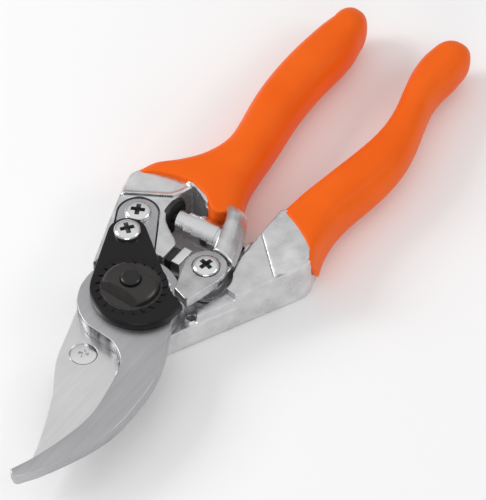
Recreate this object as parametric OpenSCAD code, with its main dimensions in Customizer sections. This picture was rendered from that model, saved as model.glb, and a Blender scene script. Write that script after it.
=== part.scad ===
// Bypass pruning shears with cast handles and dipped grips, lying flat and closed.
// The centre bolt stands on the origin, the handles point along +Y and the jaws along -Y.

/* [Lengths] */
// Reach of the jaws from the centre bolt to the hook's tip
jaw_reach = 74; // [60:1:90]
// Length of the grips from the dip line to their ends
grip_length = 96; // [80:1:120]

/* [Thicknesses] */
// Thickness of the lower handle's head under the blade
head_t = 7; // [5:0.5:9]
// Thickness of the cutting blade
blade_t = 3; // [2:0.1:4]
// Thickness of the hooked counter blade
hook_t = 4.5; // [3.5:0.1:6]
// Thickness of the locking plate
plate_t = 3; // [2:0.1:4]
// Thickness of the catch lever
catch_t = 3.5; // [2.5:0.1:4.5]
// Height of the handles at the grips
grip_h = 16.4; // [14:0.2:20]
// Wall of the dipped grips over the core
grip_wall = 2.6; // [1.5:0.1:3.4]

/* [Centre bolt] */
// Radius of the centre bolt's shank
bolt_r = 4; // [3:0.1:5]
// Radius of the centre bolt's threaded end
thread_r = 3; // [2:0.1:3.5]
// Radius of the centre bolt's flat head
bolt_head_r = 8; // [6.5:0.1:9]
// Height of the centre bolt's flat head
bolt_head_t = 2.4; // [1.5:0.1:3]
// Wall of the bushing around the bolt
bushing_wall = 1.5; // [1:0.1:2]
// Radius of the lower handle's head
head_r = 15.5; // [13.5:0.1:16]

/* [Adjusting nut] */
// Radius of the nut's notched skirt
skirt_r = 11.2; // [10:0.1:11.6]
// Radius of the nut's boss
nut_r = 8.6; // [6:0.1:8.8]
// Height of the nut's boss above the skirt
nut_h = 3.5; // [2:0.1:5]
// Number of notches in the skirt
notches = 20; // [12:1:24]
// Thickness of the serrated washer
washer_t = 0.8; // [0.5:0.1:1.2]

/* [Screws] */
// Radius of the pan heads
pan_r = 4; // [3:0.1:4.4]
// Height of the pan heads
pan_h = 2; // [1.5:0.1:2.5]
// Radius of the screws' shanks
shank_r = 2.2; // [1.5:0.1:2.4]
// Depth that each screw goes into a handle
screw_depth = 8; // [5:0.5:9]

/* [Return spring] */
// Outer radius of the spring
spring_r = 4.6; // [3.5:0.1:4.8]
// Inner radius of the spring
spring_bore_r = 2.7; // [2.3:0.1:3]
// Height of the spring's axis above the ground
spring_z = 9.5; // [8:0.1:10]

/* [Clearances] */
// Radial running clearance of a shaft in its bore
run_gap = 0.04; // [0.02:0.01:0.1]
// Gap between faces that slide past each other
slide_gap = 0.05; // [0.03:0.01:0.2]
// Gap between pieces of different handles
free_gap = 0.4; // [0.3:0.05:0.6]

/* [Hidden] */
$fn = 64;
eps = 0.01;

// Heights of the stack around the centre bolt
z_blade = head_t;
z_hook = z_blade + blade_t + slide_gap;
z_plate = z_hook + hook_t - slide_gap;
z_plate_top = z_plate + plate_t;
z_skirt = z_plate + washer_t + slide_gap;
z_nut_top = z_plate_top + nut_h;
z_bolt_top = z_nut_top + 1.1;
z_low = z_blade + blade_t - 1.6;          // floor of the lower handle under the catch
z_tab = z_low + free_gap;                 // underside of the tab that carries the catch
z_washer = z_plate;                       // the catch's washer lies level with the hook's top
catch_washer_t = 0.3;
z_catch = z_washer + catch_washer_t + slide_gap;
z_catch_top = z_catch + catch_t;
z_rim = z_plate - 2.2;                    // rim of the lower handle beside the catch
z_deck = z_plate + 0.2;                   // deck of the lower handle before its ramp
grip_z = 9.3;                             // middle height of the grips at their roots
z_root = grip_z + grip_h / 2 - 0.6;       // top of the cast cores at the dip lines
z_neck = z_catch_top + 0.6;               // top of the neck over the spring
z_neck_low = spring_z + spring_r + 0.3;   // underside of the neck over the spring

// Places of the screws and of the spring
plate_screw_at = [-13.7, 16.8];
hook_screw_at = [-17.2, 26.9];
catch_at = [14, 18.6];
blade_screw_at = [0, -23.9];
stud_at = [17.9, 5.7];
spring_y = 35.5;
seat_x = -11.3;                           // back of the spring's seat
seat_t = 1.5;
boss_x = 16.8;                            // face of the lower handle's spring boss
lug_r = 6.4;
cut_r = head_r + 1.3;                     // cut of the upper handle round the lower head
bar_x = 2.2;                              // back of the stop bar
bar_w = 3.1;
bar_y = [cut_r + 0.1, cut_r + 7.1];       // front and rear end of the stop bar
bar_low = 2;                              // underside of the stop bar
buffer_x = 1.2;                           // back of the buffer, on the upper handle
buffer_in = 0.5;                          // how far the buffer stays inside the bar's outline
sink = 0.9;                               // depth of the catch screw's head in the lever
slot_w = 1;                               // width of the cross recesses
flat_at = [87, 267];                      // directions of the nut's flats
flat_r = 7.2;                             // distance of the flats from the bolt
core_in = 2;                              // how much lower than the grips' walls the cores are
bushing_r = bolt_r + run_gap + bushing_wall;

// Catmull-Rom curve through the points, with n steps between neighbours
function blend(a, b, c, d, t) = 0.5 * (2 * b + (c - a) * t + (2 * a - 5 * b + 4 * c - d) * t * t
    + (3 * b - a - 3 * c + d) * t * t * t);
function curve(p, n = 5) = let (m = len(p) - 1) concat(
    [for (i = [0:m - 1], j = [0:n - 1])
        blend(p[max(i - 1, 0)], p[i], p[i + 1], p[min(i + 2, m)], j / n)],
    [p[m]]);
function arc(r, from, to, n, at = [0, 0]) =
    [for (i = [0:n]) let (a = from + (to - from) * i / n) at + r * [cos(a), sin(a)]];
// Jaw points are given for a reach of 74 and stretch with the reach ahead of the disc
function jaw(p) = [for (q = p) q[1] > -20 ? q : [q[0], -20 + (q[1] + 20) * (jaw_reach - 20) / 54]];

// Outline of two round ends joined by their common tangents
module link(a, ra, b, rb) {
    t = atan2(b[1] - a[1], b[0] - a[0]);
    s = acos((ra - rb) / norm(b - a));
    polygon(concat(arc(rb, t - s, t + s, 16, b), arc(ra, t + s, t + 360 - s, 24, a)));
}

module slab(z0, z1) {
    translate([0, 0, z0]) linear_extrude(z1 - z0) children();
}

module rod_x(x0, x1, r, y, z) {
    translate([x0, y, z]) rotate([0, 90, 0]) cylinder(h = x1 - x0, r = r);
}

// Cross-recess pan head screw with its shank pointing down
module pan_screw(at, z, depth) {
    translate([at[0], at[1], z]) difference() {
        union() {
            translate([0, 0, -depth]) cylinder(h = depth + eps, r = shank_r);
            cylinder(h = pan_h - 0.7, r = pan_r);
            translate([0, 0, pan_h - 0.7]) cylinder(h = 0.7, r1 = pan_r, r2 = pan_r - 1.1);
        }
        for (a = [0, 90])
            translate([0, 0, pan_h]) rotate([0, 0, a + 20]) cube([1.1 * pan_r, slot_w, 2.4], center = true);
    }
}

// ---- grips: stations of [left, right] edge points and the half height, from root to end

upper_stations = [
    [[-27.8, 41.0], [8.0, 46.5], 1.0], [[-26.4, 46.4], [5.8, 50.4], 1.0],
    [[-21.8, 51.4], [4.0, 54.8], 1.0], [[-17.4, 57.2], [2.6, 59.6], 1.0],
    [[-14.8, 63.0], [1.7, 65.0], 0.98], [[-13.8, 69.0], [0.9, 70.8], 0.96],
    [[-14.6, 75.4], [0.0, 77.2], 0.95], [[-16.4, 82.4], [-1.2, 84.2], 0.94],
    [[-17.9, 90.4], [-2.4, 92.0], 0.94], [[-18.9, 99.0], [-3.1, 100.2], 0.94],
    [[-19.2, 108.0], [-3.3, 108.6], 0.94], [[-19.0, 117.0], [-3.2, 117.0], 0.94],
    [[-18.3, 126.0], [-3.2, 125.0], 0.92], [[-17.0, 133.4], [-4.6, 132.0], 0.84],
    [[-15.0, 138.8], [-7.6, 137.6], 0.6]];
lower_stations = [
    [[18.0, 52.5], [37.0, 45.0], 1.0], [[18.0, 57.0], [35.4, 50.8], 1.0],
    [[18.4, 63.0], [34.4, 58.4], 1.0], [[19.2, 70.0], [34.8, 66.8], 0.98],
    [[20.2, 77.6], [36.2, 76.2], 0.96], [[21.4, 85.4], [36.9, 85.2], 0.94],
    [[22.4, 94.0], [36.4, 94.4], 0.92], [[22.4, 102.2], [34.8, 103.0], 0.9],
    [[21.2, 110.4], [32.4, 111.2], 0.88], [[19.4, 118.4], [30.2, 118.8], 0.88],
    [[17.3, 126.2], [29.0, 125.6], 0.88], [[16.3, 133.4], [29.0, 132.8], 0.88],
    [[16.8, 140.2], [28.6, 139.4], 0.84], [[19.2, 145.2], [26.6, 144.2], 0.6]];

// Edge points move away from the first one, at the dip line, when the grip's length changes
function along(p, root) = [p[0], root + (p[1] - root) * grip_length / 96];
function left_edge(s) = [for (q = s) along(q[0], s[0][0][1])];
function right_edge(s) = [for (q = s) along(q[1], s[0][1][1])];
function grip_side(u) = sign(u) * pow(abs(u), 0.8);

module grip_body(s) {
    n = 28;
    l = left_edge(s);
    r = right_edge(s);
    m = len(s);
    last = (l[m - 1] + r[m - 1]) / 2;
    before = (l[m - 2] + r[m - 2]) / 2;
    tip = last + 0.5 * (last - before);
    rings = [for (i = [0:m - 1], k = [0:n - 1])
        let (a = 360 * k / n, c = (l[i] + r[i]) / 2 + (r[i] - l[i]) / 2 * grip_side(cos(a)))
        [c[0], c[1], grip_z + s[i][2] * grip_h / 2 * grip_side(sin(a))]];
    points = concat(rings, [[tip[0], tip[1], grip_z]]);
    sides = [for (i = [0:m - 2], k = [0:n - 1]) let (j = (k + 1) % n)
        [[i * n + k, (i + 1) * n + k, (i + 1) * n + j], [i * n + k, (i + 1) * n + j, i * n + j]]];
    faces = concat([for (f = sides, g = f) g],
        [[for (k = [0:n - 1]) k]],
        [for (k = [0:n - 1]) [(m - 1) * n + k, m * n, (m - 1) * n + (k + 1) % n]]);
    polyhedron(points, faces);
}

// Core of a handle inside its grip, which starts a little way inside the cast head
module tang(s, keep) {
    l = left_edge(s);
    r = right_edge(s);
    inner = [for (i = [0:keep]) let (u = (r[i] - l[i]) / norm(r[i] - l[i]))
        [l[i] + u * (grip_wall + 1), r[i] - u * (grip_wall + 1)]];
    start = [for (e = inner[0]) e - [0, 1.2]];
    slab(grip_z - grip_h / 2 + core_in + grip_wall, grip_z + grip_h / 2 - core_in - grip_wall)
        polygon(concat([start[0]], [for (q = inner) q[0]],
                       [for (i = [keep:-1:0]) inner[i][1]], [start[1]]));
}

// ---- lower handle and what swings with it

blade_outline = concat(
    arc(14.4, -20, 215, 24),
    curve(jaw([[-12.0, -11.0], [-8.6, -20.4], [-5.4, -29.6], [-2.0, -35.6], [2.8, -43.2],
               [7.4, -53.0], [10.6, -61.2], [12.6, -68.6]])),
    curve(jaw([[15.2, -65.0], [19.4, -55.0], [21.6, -45.0], [21.2, -35.0], [18.6, -25.6],
               [15.4, -17.6], [14.2, -10.0]])));

module lower_outline() {
    polygon(concat(
        [[15.2, -5.2], [35.4, 36.0], [36.8, 39.6], [37.0, 45.0], [18.0, 52.5]],
        curve([[18.4, 46.0], [18.8, 40.0], [19.3, 35.0], [18.5, 30.6]], 4),
        [[16.4, 29.4], [9.0, 26.6], [5.7, 24.0], [5.7, 14.0], [0, 0]]));
}

// Raised part of the deck in front of the dip line
lower_ramp = [[18.7, 42.2], [34.9, 38.6], [36.5, 41.0], [36.7, 44.8], [18.3, 52.1], [18.7, 46.0]];

module blade_handle() color([0.78, 0.78, 0.79]) {
    deck = concat([[26.0, 17.0], [35.4, 36.0], [36.8, 39.6], [37.0, 45.0], [18.0, 52.5]],
        curve([[18.4, 46.0], [18.8, 40.0], [19.3, 35.0], [18.5, 30.6]], 4),
        arc(lug_r + 1.6, 38, -8, 6, catch_at));
    difference() {
        union() {
            slab(0, z_blade) {
                circle(r = head_r);
                link([0, 0], head_r, blade_screw_at, 6);
            }
            difference() {
                slab(0, z_low) lower_outline();
                slab(z_blade, z_low + 1) circle(r = head_r + 0.2);
            }
            slab(0, z_deck) polygon(deck);
            slab(z_deck - 1, z_root) polygon(lower_ramp);
            slab(0, z_rim) polygon([[19.9, 5.0], [26.0, 17.1], [22.3, 20], [21.6, 16], [19.5, 11], [17.9, 8]]);
            rod_x(boss_x, 22, spring_r, spring_y, spring_z);
            tang(lower_stations, 11);
        }
        slab(-1, bolt_head_t + slide_gap) circle(r = bolt_head_r + free_gap);
        slab(-1, z_blade + 1) circle(r = bushing_r);
        translate([blade_screw_at[0], blade_screw_at[1], -1]) cylinder(h = head_t + 2, r = shank_r);
        rod_x(boss_x - 1, boss_x + 3, 1.6, spring_y, spring_z);
        translate([stud_at[0], stud_at[1], z_low - 4]) cylinder(h = 5, r = 1.4);
    }
}

module blade_grip() color([0.95, 0.36, 0.1]) difference() {
    grip_body(lower_stations);
    tang(lower_stations, 11);
}

module cutting_blade() color([0.82, 0.82, 0.83]) difference() {
    slab(z_blade, z_blade + blade_t) polygon(blade_outline);
    slab(0, z_hook) circle(r = bushing_r);
    translate([blade_screw_at[0], blade_screw_at[1], 0]) {
        cylinder(h = z_hook, r = shank_r);
        translate([0, 0, z_blade + blade_t - 1.7]) cylinder(h = 1.7 + eps, r1 = shank_r, r2 = pan_r);
    }
}

// Countersunk screw, flush with the blade
module blade_screw() color([0.88, 0.88, 0.88]) difference() {
    translate([blade_screw_at[0], blade_screw_at[1], 0]) {
        translate([0, 0, 0.6]) cylinder(h = z_blade + blade_t - 1.7 - 0.6, r = shank_r);
        translate([0, 0, z_blade + blade_t - 1.7]) cylinder(h = 1.7, r1 = shank_r, r2 = pan_r);
    }
    for (a = [0, 90]) translate([blade_screw_at[0], blade_screw_at[1], z_blade + blade_t])
        rotate([0, 0, a + 20]) cube([pan_r, slot_w, 2.2], center = true);
}

module pivot_bushing() color([0.7, 0.52, 0.3]) difference() {
    slab(bolt_head_t + slide_gap + 0.1, z_blade + blade_t) circle(r = bushing_r);
    slab(0, z_hook) circle(r = bolt_r + run_gap);
}

module catch_stud() color([0.75, 0.75, 0.75]) translate([stud_at[0], stud_at[1], 0]) {
    translate([0, 0, z_low - 4]) cylinder(h = 4, r = 1.4);
    translate([0, 0, z_low]) cylinder(h = 0.7, r = 2.2);
    translate([0, 0, z_low + 0.7]) cylinder(h = 0.5, r1 = 2.2, r2 = 1.4);
}

module spring_peg() color([0.3, 0.3, 0.3]) {
    rod_x(boss_x - 1.8, boss_x + 3, 1.6, spring_y, spring_z);
}

// ---- upper handle and what is fastened to it

hook_outline = concat(
    curve([[-9.0, 12.0], [-14.2, 3.0], [-14.6, -4.0], [-12.8, -9.4], [-9.5, -13.8], [-4.2, -17.0],
           [2.0, -17.7], [7.2, -18.6], [12.0, -21.9]]),
    curve(jaw([[14.4, -26.4], [16.4, -34.6], [17.6, -42.0], [17.4, -49.0], [16.0, -56.6],
               [13.6, -65.6], [10.8, -72.8]]), 4),
    jaw([[12.0, -74.0], [13.8, -73.6]]),
    curve(jaw([[17.2, -68.4], [20.8, -61.0], [24.2, -52.4], [26.2, -44.0], [26.3, -34.0],
               [25.2, -23.8], [22.4, -14.2], [19.0, -7.2], [16.0, -1.0], [14.9, 4.0]])),
    arc(14.6, 22, 98, 10));

module hook_tail(extra = 0) {
    link([-6.6, 7.8], 7.0 + extra, hook_screw_at, 6.2 + extra);
}

module upper_outline() {
    polygon(concat(
        [[1.2, 12.0], [-2.0, 8.0], [-15.0, -1.0], [-22.4, 18.6], [-27.6, 33.4]],
        curve([[-28.5, 37.0], [-28.6, 39.4], [-27.8, 41.0]], 3),
        [[8.0, 46.5], [9.6, 43.6], [2.0, 41.8]],
        curve([[-2.0, 42.6], [-6.0, 43.0], [-9.4, 42.0], [-11.1, 38.6], [-11.0, 34.3],
               [-9.6, 31.0], [-6.6, 27.9], [-2.2, 25.5]], 4),
        [[1.2, 23.6]]));
}

// Raised part of the head in front of the dip line
upper_ramp = [[-25.6, 33.6], [-28.1, 37.4], [-28.2, 39.4], [-27.5, 40.8], [-10.4, 43.4], [-11.6, 39.0]];

neck_outline = [[1.4, 42.6], [1.2, 45.0], [7.6, 46.0], [9.0, 44.0], [12.6, 40.2], [15.2, 37.0], [16.4, 34.0],
    [17.6, 30.0], [18.8, 25.6], [11.6, 26.2], [10.2, 31.0], [7.2, 37.6], [4.6, 40.4]];

module hook_handle() color([0.79, 0.79, 0.8]) difference() {
    union() {
        slab(1.2, z_plate) upper_outline();
        slab(z_plate - 1, z_root) polygon(upper_ramp);
        slab(z_neck_low, z_neck) polygon(neck_outline);
        slab(z_tab, z_neck - 0.2) polygon([[18.5, 26.2], [17.3, 29.4], [11.3, 29.4], [12.0, 26.6]]);
        slab(z_tab, z_washer) {
            translate(catch_at) circle(r = lug_r - 0.4);
            polygon([[18.3, 26.8], [12.3, 26.8], [9.5, 20.6], [18.7, 20.0]]);
        }
        tang(upper_stations, 12);
    }
    slab(0, z_root + 5) circle(r = cut_r);
    slab(z_hook - slide_gap, z_root + 5) hook_tail(0.15);
    for (at = [plate_screw_at, hook_screw_at])
        translate([at[0], at[1], z_hook - screw_depth]) cylinder(h = 30, r = shank_r);
    translate([catch_at[0], catch_at[1], z_tab - 1]) cylinder(h = 30, r = shank_r);
    rod_x(seat_x, 3, spring_r + 1.3, spring_y, spring_z);
    rod_x(seat_x - 3, 3, 1.6, spring_y, spring_z);
}

module hook_grip() color([0.95, 0.36, 0.1]) difference() {
    grip_body(upper_stations);
    tang(upper_stations, 12);
}

module hook_blade() color([0.66, 0.66, 0.67]) difference() {
    slab(z_hook, z_plate) {
        polygon(hook_outline);
        hook_tail();
    }
    slab(0, 30) circle(r = bolt_r);
    for (at = [plate_screw_at, hook_screw_at])
        translate([at[0], at[1], 0]) cylinder(h = 30, r = shank_r);
}

module hook_screw() color([0.85, 0.85, 0.86]) pan_screw(hook_screw_at, z_plate, hook_t + screw_depth - 0.6);

lock_outline = concat(
    arc(6, 52, 202, 16, plate_screw_at),
    arc(14.65, 202, 350, 26, [1.8, 1.5]),
    [[16.5, 3.1], [13.6, 4.0], [10.6, 5.6]]);

module lock_plate() color([0.14, 0.13, 0.13]) difference() {
    slab(z_plate, z_plate_top) polygon(lock_outline);
    slab(z_plate - 1, z_skirt) circle(r = skirt_r + 1.3);
    slab(0, 40) circle(r = skirt_r + 0.2);
    translate([plate_screw_at[0], plate_screw_at[1], 0]) cylinder(h = 40, r = shank_r);
}

module lock_plate_screw() color([0.85, 0.85, 0.86])
    pan_screw(plate_screw_at, z_plate_top, plate_t + hook_t + screw_depth - 0.6);

module adjusting_nut() color([0.14, 0.13, 0.13]) difference() {
    union() {
        slab(z_skirt, z_plate_top) circle(r = skirt_r);
        slab(z_plate_top, z_nut_top) circle(r = nut_r);
    }
    slab(0, 40) circle(r = thread_r);
    for (i = [0:notches - 1]) rotate([0, 0, 360 * i / notches])
        translate([skirt_r - 2.3, -0.55, z_plate_top - 1]) cube([2, 1.1, 2]);
    for (a = flat_at) rotate([0, 0, a])
        translate([flat_r, -nut_r, z_plate_top + 0.8]) cube([4, 2 * nut_r, nut_h]);
}

module lock_washer() color([0.75, 0.75, 0.76]) difference() {
    slab(z_plate, z_plate + washer_t) circle(r = skirt_r + 1);
    slab(0, 40) circle(r = bolt_r);
    for (i = [0:35]) rotate([0, 0, 10 * i])
        translate([skirt_r + 0.3, -0.5, z_plate - 1]) cube([3, 1, 4]);
}

module pivot_bolt() color([0.72, 0.72, 0.73]) {
    cylinder(h = bolt_head_t, r = bolt_head_r);
    slab(bolt_head_t - eps, z_skirt) circle(r = bolt_r);
    slab(z_skirt - eps, z_bolt_top - 0.4) circle(r = thread_r);
    translate([0, 0, z_bolt_top - 0.4 - eps]) cylinder(h = 0.4, r1 = thread_r, r2 = thread_r - 0.5);
}

module spring_seat() color([0.2, 0.2, 0.2]) {
    rod_x(seat_x, seat_x + seat_t, spring_r + 1.2, spring_y, spring_z);
    rod_x(seat_x - 3, seat_x + seat_t + 2.5, 1.6, spring_y, spring_z);
}

module stop_bar() color([0.8, 0.8, 0.8]) {
    translate([bar_x, bar_y[0], bar_low]) cube([bar_w, bar_y[1] - bar_y[0], z_plate + 0.3 - bar_low]);
}

module stop_buffer() color([0.1, 0.1, 0.1]) {
    translate([buffer_x, bar_y[0] + buffer_in, bar_low + buffer_in])
        cube([bar_x - buffer_x, bar_y[1] - bar_y[0] - 2 * buffer_in, z_plate - bar_low - 3 * buffer_in]);
}

module catch_screw() color([0.85, 0.85, 0.86]) {
    pan_screw(catch_at, z_catch_top - sink, z_catch_top - sink - z_tab);
}

module catch_washer() color([0.7, 0.7, 0.7]) difference() {
    slab(z_washer, z_washer + catch_washer_t) translate(catch_at) circle(r = 5);
    slab(0, 40) translate(catch_at) circle(r = shank_r);
}

// ---- catch lever, turning on its screw

module catch_lever() color([0.8, 0.8, 0.81]) difference() {
    slab(z_catch, z_catch_top) {
        translate(catch_at) circle(r = lug_r);
        polygon([[7.8, 17.0], [11.0, 6.8], [16.7, 4.9], [20.3, 17.4]]);
    }
    translate([catch_at[0], catch_at[1], 0]) {
        cylinder(h = 40, r = shank_r + run_gap);
        translate([0, 0, z_catch_top - sink - slide_gap]) cylinder(h = 4, r = pan_r + free_gap);
    }
}

// ---- volute return spring between the handles, drawn as its closed envelope

module return_spring() color([0.8, 0.8, 0.8]) {
    x0 = seat_x + seat_t;
    length = boss_x - x0;
    translate([x0, spring_y, spring_z]) rotate([0, 90, 0]) rotate_extrude()
        polygon([[spring_bore_r, 0], [spring_r, 0], [spring_r, length * 0.62],
                 [spring_r - 0.8, length * 0.62], [spring_r - 0.8, length], [spring_bore_r, length]]);
}

blade_handle();
blade_grip();
cutting_blade();
blade_screw();
pivot_bushing();
catch_stud();
spring_peg();
hook_handle();
hook_grip();
hook_blade();
hook_screw();
lock_plate();
lock_plate_screw();
adjusting_nut();
lock_washer();
pivot_bolt();
spring_seat();
stop_bar();
stop_buffer();
catch_screw();
catch_washer();
catch_lever();
return_spring();
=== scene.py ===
import math

import bmesh
import bpy
from mathutils import Matrix, Vector


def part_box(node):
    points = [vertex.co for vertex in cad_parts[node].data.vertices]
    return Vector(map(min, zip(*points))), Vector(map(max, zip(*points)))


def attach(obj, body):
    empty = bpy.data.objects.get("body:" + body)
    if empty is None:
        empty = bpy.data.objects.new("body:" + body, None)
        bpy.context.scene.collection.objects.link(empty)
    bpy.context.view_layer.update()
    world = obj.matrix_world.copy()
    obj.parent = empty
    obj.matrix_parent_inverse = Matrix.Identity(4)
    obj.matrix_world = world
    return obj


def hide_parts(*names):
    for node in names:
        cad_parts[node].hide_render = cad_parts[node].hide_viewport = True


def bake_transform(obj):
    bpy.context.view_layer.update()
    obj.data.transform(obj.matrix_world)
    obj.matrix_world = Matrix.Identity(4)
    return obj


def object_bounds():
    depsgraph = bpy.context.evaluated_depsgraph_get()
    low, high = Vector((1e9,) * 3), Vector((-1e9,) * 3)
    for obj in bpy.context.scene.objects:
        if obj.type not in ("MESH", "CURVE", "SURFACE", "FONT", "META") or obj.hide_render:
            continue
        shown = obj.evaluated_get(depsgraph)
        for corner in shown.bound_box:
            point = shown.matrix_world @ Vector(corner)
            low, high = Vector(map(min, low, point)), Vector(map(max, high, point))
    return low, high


# %% [markdown]
# # Bypass pruning shears
# These shears have two cast aluminium handles with orange dipped grips, a hooked counter blade, a
# cutting blade and a volute spring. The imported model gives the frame: one empty for each moving body
# and one mesh for each sub-part.

# %% Load the frame
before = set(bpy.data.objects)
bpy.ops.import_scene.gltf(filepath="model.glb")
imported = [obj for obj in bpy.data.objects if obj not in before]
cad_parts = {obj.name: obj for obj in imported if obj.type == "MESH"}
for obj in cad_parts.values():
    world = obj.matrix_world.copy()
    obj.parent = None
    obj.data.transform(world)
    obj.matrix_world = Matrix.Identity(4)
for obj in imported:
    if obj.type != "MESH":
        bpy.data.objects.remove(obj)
cad_low, cad_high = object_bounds()
MM = 0.001
print("box in mm:", [round(v / MM, 1) for v in (*cad_low, *cad_high)])

# %% [markdown]
# The heights of the stack around the centre bolt are read from the frame, so each visible piece sits
# exactly where its working solid does. All outlines below are in millimetres seen from above, with the
# bolt at the origin, the jaws towards -Y and the grips towards +Y.

# %% Heights of the stack


def levels(node):
    """Lowest and highest Z of a sub-part in millimetres."""
    low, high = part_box(node)
    return low[2] / MM, high[2] / MM


BLADE_LOW, BLADE_TOP = levels("cutting_blade")
HOOK_LOW, HOOK_TOP = levels("hook_blade")
PLATE_LOW, PLATE_TOP = levels("lock_plate")
CATCH_LOW, CATCH_TOP = levels("catch_lever")
ROOT_TOP = levels("blade_handle")[1]
NECK_TOP = levels("hook_handle")[1]
SPRING_Z = sum(levels("return_spring")) / 2
TAB_LOW = BLADE_TOP - 1.2
FLOOR_TOP = BLADE_TOP - 1.6
print("hook", HOOK_LOW, HOOK_TOP, "plate", PLATE_TOP, "catch", CATCH_LOW, CATCH_TOP)

# %% Places of the screws and of the spring
HOOK_SCREW = Vector((-17.2, 26.9))
PLATE_SCREW = Vector((-13.7, 16.8))
CATCH_SCREW = Vector((14.0, 18.6))
BLADE_SCREW = Vector((0.0, -23.9))
STUD = Vector((17.9, 5.7))
SPRING_Y = 35.5
CUT_RADIUS = 16.8
TAIL_ROOT = Vector((-6.6, 7.8))

# %% [markdown]
# Outlines are drawn the way a pattern maker draws them: a few points with a smooth curve through them,
# arcs about a centre, and round ends joined by their common tangents.

# %% Outline helpers


def smooth(points, steps=8):
    """Catmull-Rom curve through the points."""
    p = [Vector(q) for q in points]
    out = []
    for i in range(len(p) - 1):
        a, b, c, d = p[max(i - 1, 0)], p[i], p[i + 1], p[min(i + 2, len(p) - 1)]
        for j in range(steps):
            t = j / steps
            bend = (2 * a - 5 * b + 4 * c - d) * t * t + (3 * b - a - 3 * c + d) * t**3
            out.append(0.5 * (2 * b + (c - a) * t + bend))
    return out + [p[-1]]


def arc(radius, start, end, steps, at=(0, 0)):
    """Points along an arc, with its angles in degrees."""
    angles = [math.radians(start + (end - start) * i / steps) for i in range(steps + 1)]
    return [Vector((at[0] + radius * math.cos(a), at[1] + radius * math.sin(a))) for a in angles]


def link(a, ra, b, rb):
    """Two round ends joined by their common tangents."""
    turn = math.degrees(math.atan2(b[1] - a[1], b[0] - a[0]))
    side = math.degrees(math.acos((ra - rb) / (Vector(b) - Vector(a)).length))
    return arc(rb, turn - side, turn + side, 24, b) + arc(ra, turn + side, turn + 360 - side, 40, a)


# %% [markdown]
# Three ways of making a solid cover nearly the whole tool. Plates are flat curves with a small bevel,
# which keeps edges crisp and evenly broken. Turned pieces are lathe profiles. Castings are
# joined from plain blocks, remeshed into one skin and relaxed, so every inside corner gets the soft
# fillet that a die casting has.

# %% Mesh helpers


def new_piece(name, verts, faces):
    """A mesh object in millimetres turned into metres, with its normals pointing outwards."""
    mesh = bpy.data.meshes.new(name)
    mesh.from_pydata([tuple(Vector(v) * MM) for v in verts], [], faces)
    tidy(mesh)
    piece = bpy.data.objects.new(name, mesh)
    bpy.context.scene.collection.objects.link(piece)
    return piece


def tidy(mesh, gap=2e-6):
    """Merges doubles and turns the faces outwards."""
    work = bmesh.new()
    work.from_mesh(mesh)
    bmesh.ops.remove_doubles(work, verts=work.verts, dist=gap)
    bmesh.ops.recalc_face_normals(work, faces=work.faces)
    work.to_mesh(mesh)
    work.free()


def apply_modifiers(piece):
    """Replaces the mesh with its evaluated result and drops the modifiers."""
    graph = bpy.context.evaluated_depsgraph_get()
    done = bpy.data.meshes.new_from_object(piece.evaluated_get(graph))
    piece.modifiers.clear()
    piece.data = done
    return piece


def smooth_shade(piece, angle=32):
    """Smooth shading with sharp edges above an angle."""
    piece.data.shade_smooth()
    piece.data.set_sharp_from_angle(angle=math.radians(angle))
    return piece


def cut(piece, *cutters):
    """Takes the cutters out of a piece, one after another."""
    for cutter in cutters:
        m = piece.modifiers.new("cut", "BOOLEAN")
        m.object = cutter
        m.operation = "DIFFERENCE"
        m.solver = "EXACT"
        apply_modifiers(piece)
        bpy.data.objects.remove(cutter)
    return piece


def joined(name, parts):
    """Joins the meshes of several pieces into one object."""
    work = bmesh.new()
    for part in parts:
        work.from_mesh(part.data)
        bpy.data.objects.remove(part)
    mesh = bpy.data.meshes.new(name)
    work.to_mesh(mesh)
    work.free()
    piece = bpy.data.objects.new(name, mesh)
    bpy.context.scene.collection.objects.link(piece)
    return piece


def prism(name, outline, low, top):
    """A plain closed prism; top may be a function of the point for a sloping top."""
    n = len(outline)
    height = top if callable(top) else (lambda p: top)
    verts = [(p[0], p[1], low) for p in outline] + [(p[0], p[1], height(p)) for p in outline]
    sides = [(i, (i + 1) % n, n + (i + 1) % n, n + i) for i in range(n)]
    return new_piece(name, verts, sides + [tuple(range(n))[::-1], tuple(range(n, 2 * n))])


def plate(name, outline, low, top, edge=0.3, holes=()):
    """A flat plate with holes whose edges are broken by a small round bevel."""
    drawing = bpy.data.curves.new(name, "CURVE")
    drawing.dimensions = "2D"
    drawing.fill_mode = "BOTH"
    drawing.extrude = ((top - low) / 2 - edge) * MM
    drawing.bevel_depth = edge * MM
    drawing.bevel_resolution = 3
    drawing.offset = -edge * MM
    for loop in (outline, *holes):
        spline = drawing.splines.new("POLY")
        spline.points.add(len(loop) - 1)
        spline.use_cyclic_u = True
        for point, place in zip(spline.points, loop):
            point.co = (place[0] * MM, place[1] * MM, 0, 1)
    carrier = bpy.data.objects.new(name, drawing)
    bpy.context.scene.collection.objects.link(carrier)
    graph = bpy.context.evaluated_depsgraph_get()
    mesh = bpy.data.meshes.new_from_object(carrier.evaluated_get(graph))
    bpy.data.objects.remove(carrier)
    mesh.transform(Matrix.Translation((0, 0, (low + top) / 2 * MM)))
    tidy(mesh)
    piece = bpy.data.objects.new(name, mesh)
    bpy.context.scene.collection.objects.link(piece)
    return smooth_shade(piece)


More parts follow.
